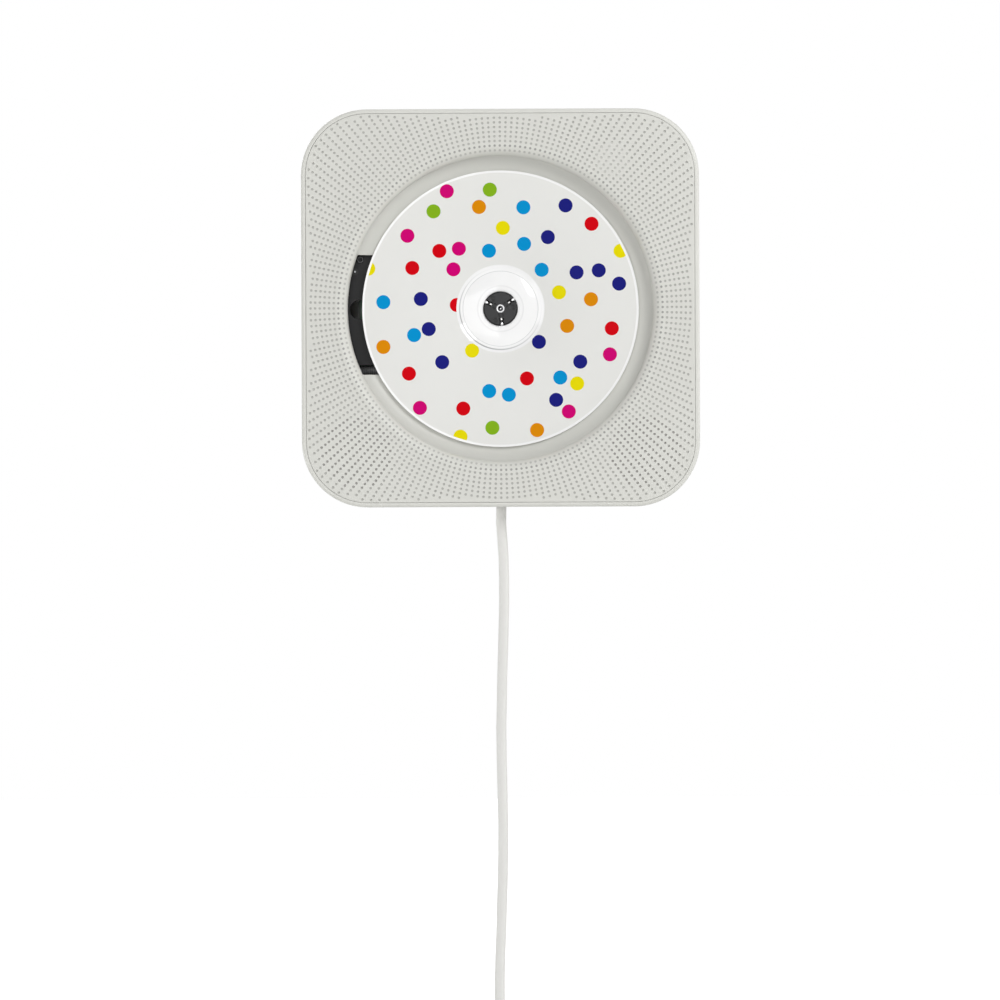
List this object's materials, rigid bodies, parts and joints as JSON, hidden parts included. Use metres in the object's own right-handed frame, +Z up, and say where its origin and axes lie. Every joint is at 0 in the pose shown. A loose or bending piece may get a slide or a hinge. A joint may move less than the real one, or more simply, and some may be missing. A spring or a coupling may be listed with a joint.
{
  "type": "wall mounted disc player",
  "caption": "Square wall-hung disc player with a round open well, a perforated front, keys along the top and a mains cord that is pulled to switch it.",
  "frame": {"origin": "centre of the wall bracket's back face, on the wall and level with the disc's centre", "axes": "+Z up the wall, -Y out of the wall towards the front, +X to the right seen from the front"},
  "size_m": [0.172, 0.041, 0.5035],
  "materials": {
    "white_shell": "satin",
    "white_inner": "satin",
    "black_plastic": "satin",
    "steel_sheet": "zinc plated",
    "steel_bright": "polished",
    "black_rubber": "matt",
    "disc_label": "printed, with a clear centre",
    "clear_window": "smoked",
    "lens_glass": "coated",
    "circuit_board": "solder resist",
    "board_parts": "moulded",
    "grille_cloth": "woven",
    "cone_paper": "matt",
    "magnet_iron": "ground",
    "cord_white": "satin",
    "plug_brass": "plated"
  },
  "bodies": {
    "bracket": {"wall_bracket": "steel_sheet"},
    "unit": {"wall_pads": "black_rubber", "rear_cover": "white_shell", "cover_screws": "steel_bright", "side_frame": "white_shell", "front_grille": "white_shell", "disc_well": "white_shell", "well_screws": "steel_bright", "mech_deck": "black_plastic", "deck_grommets": "black_rubber", "deck_screws": "steel_bright", "spindle_motor": "steel_bright", "guide_rods": "steel_bright", "sled_motor": "steel_bright", "main_board": "circuit_board", "main_board_parts": "board_parts", "power_board": "circuit_board", "power_board_parts": "board_parts", "board_screws": "steel_bright", "sensor_board": "circuit_board", "remote_sensor": "black_plastic", "speaker_frames": "steel_sheet", "speaker_cones": "cone_paper", "speaker_magnets": "magnet_iron", "speaker_gaskets": "black_rubber", "speaker_cloths": "grille_cloth", "button_board": "circuit_board", "tact_switches": "black_plastic", "display_module": "black_plastic", "display_window": "clear_window", "switch_frame": "white_inner", "pull_spring": "steel_bright", "pull_microswitch": "black_plastic", "cord_bush": "white_shell"},
    "turntable": {"spindle_shaft": "steel_bright", "platter": "white_inner", "clamp_hub": "black_plastic", "ball_springs": "steel_bright"},
    "disc": {"disc": "disc_label"},
    "ball_a": {"detent_ball_a": "steel_bright"},
    "ball_b": {"detent_ball_b": "steel_bright"},
    "ball_c": {"detent_ball_c": "steel_bright"},
    "sled": {"pickup_sled": "black_plastic"},
    "feed": {"feed_screw": "steel_bright"},
    "lens": {"lens_holder": "black_plastic", "objective_lens": "lens_glass"},
    "pull": {"cord_slider": "white_inner", "cord_anchor": "cord_white", "cord_lead": "cord_white", "cord_coil": "cord_white", "coil_tie": "black_rubber", "plug": "cord_white", "plug_blades": "plug_brass"},
    "skip_back_key": {"button_skip_back": "white_shell"},
    "play_stop_key": {"button_play_stop": "white_shell"},
    "skip_forward_key": {"button_skip_forward": "white_shell"},
    "mode_key": {"button_mode": "white_shell"},
    "volume_down_key": {"button_volume_down": "white_shell"},
    "volume_up_key": {"button_volume_up": "white_shell"}
  },
  "joints": [
    {"name": "unit_lift", "type": "slide", "parent": "bracket", "child": "unit", "axis": [0, 0, 1], "range_m": [0, 0.008]},
    {"name": "spindle_spin", "type": "hinge", "parent": "unit", "child": "turntable", "pos_m": [0, -0.03, 0], "axis": [0, -1, 0], "continuous": true},
    {"name": "disc_lift", "type": "slide", "parent": "turntable", "child": "disc", "axis": [0, -1, 0], "range_m": [0, 0.03]},
    {"name": "ball_a_press", "type": "slide", "parent": "turntable", "child": "ball_a", "axis": [-0.8141, 0, -0.5807], "range_m": [0, 0.0005], "stiffness_N_per_m": 300, "springref_m": -0.0005},
    {"name": "ball_b_press", "type": "slide", "parent": "turntable", "child": "ball_b", "axis": [0.91, 0, -0.4147], "range_m": [0, 0.0005], "stiffness_N_per_m": 300, "springref_m": -0.0005},
    {"name": "ball_c_press", "type": "slide", "parent": "turntable", "child": "ball_c", "axis": [-0.0958, 0, 0.9954], "range_m": [0, 0.0005], "stiffness_N_per_m": 300, "springref_m": -0.0005},
    {"name": "sled_feed", "type": "slide", "parent": "unit", "child": "sled", "axis": [-1, 0, 0], "range_m": [0, 0.034]},
    {"name": "feed_screw_spin", "type": "hinge", "parent": "unit", "child": "feed", "pos_m": [-0.03, -0.0205, -0.0262], "axis": [1, 0, 0], "range_deg": [-5, 4090]},
    {"name": "lens_focus", "type": "slide", "parent": "sled", "child": "lens", "axis": [0, -1, 0], "range_m": [-0.0004, 0.0004], "stiffness_N_per_m": 30},
    {"name": "skip_back_press", "type": "slide", "parent": "unit", "child": "skip_back_key", "axis": [0, 0, -1], "range_m": [0, 0.0007], "stiffness_N_per_m": 800, "springref_m": -0.0005},
    {"name": "play_stop_press", "type": "slide", "parent": "unit", "child": "play_stop_key", "axis": [0, 0, -1], "range_m": [0, 0.0007], "stiffness_N_per_m": 800, "springref_m": -0.0005},
    {"name": "skip_forward_press", "type": "slide", "parent": "unit", "child": "skip_forward_key", "axis": [0, 0, -1], "range_m": [0, 0.0007], "stiffness_N_per_m": 800, "springref_m": -0.0005},
    {"name": "mode_press", "type": "slide", "parent": "unit", "child": "mode_key", "axis": [0, 0, -1], "range_m": [0, 0.0007], "stiffness_N_per_m": 800, "springref_m": -0.0005},
    {"name": "volume_down_press", "type": "slide", "parent": "unit", "child": "volume_down_key", "axis": [0, 0, -1], "range_m": [0, 0.0007], "stiffness_N_per_m": 800, "springref_m": -0.0005},
    {"name": "volume_up_press", "type": "slide", "parent": "unit", "child": "volume_up_key", "axis": [0, 0, -1], "range_m": [0, 0.0007], "stiffness_N_per_m": 800, "springref_m": -0.0005},
    {"name": "cord_pull", "type": "slide", "parent": "unit", "child": "pull", "axis": [0, 0, -1], "range_m": [0, 0.006], "stiffness_N_per_m": 1000, "springref_m": -0.003, "deforming": ["pull_spring"]}
  ],
  "couplings": [
    {"joint": "feed_screw_spin", "follows": "sled_feed", "rad_per_m": 2094.4}
  ]
}
